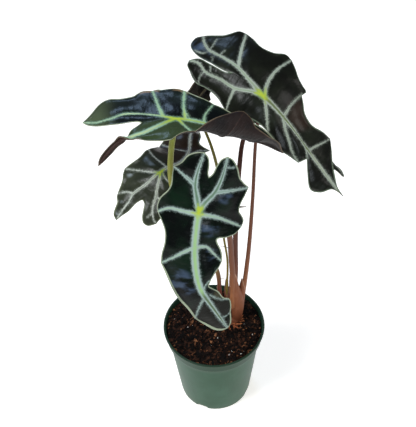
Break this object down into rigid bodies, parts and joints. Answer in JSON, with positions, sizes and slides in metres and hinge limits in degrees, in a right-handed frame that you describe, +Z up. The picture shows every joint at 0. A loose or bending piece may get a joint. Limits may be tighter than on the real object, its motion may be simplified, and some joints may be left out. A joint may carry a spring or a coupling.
{
  "type": "potted polly alocasia",
  "caption": "Potted aroid: arrow-shaped dark leaves with pale raised veins and waved edges on slender stalks, growing from a sheathed crown in potting mix in a round plastic nursery pot.",
  "frame": {"origin": "middle of the pot's underside, on the surface that the pot stands on", "axes": "+Z up; the plant's front leaf hangs towards -Y, and +X is to the right as seen from the front"},
  "size_m": [0.2366, 0.2049, 0.4091],
  "materials": {
    "pot_plastic": "dark grey-green moulded plastic, satin",
    "potting_mix": "damp dark brown mix of fibre, bark and a little perlite",
    "sheath": "pinkish brown stalk sheaths, satin",
    "stalk_brown": "smooth reddish brown stalks, satin",
    "stalk_olive": "smooth olive to yellow-green stalks, satin",
    "leaf": "leathery, near-black green, glossy above with pale veins, maroon below"
  },
  "bodies": {
    "root": {"pot": "pot_plastic", "soil": "potting_mix", "crown": "sheath", "stalk_back_right": "stalk_brown", "blade_back_right": "leaf", "stalk_side_left": "stalk_olive", "blade_side_left": "leaf", "stalk_low_left": "stalk_brown", "blade_low_left": "leaf", "stalk_front": "stalk_brown", "blade_front": "leaf", "stalk_hidden_small": "stalk_olive", "blade_hidden_small": "leaf", "stalk_hidden_back": "stalk_brown", "blade_hidden_back": "leaf"}
  },
  "joints": []
}
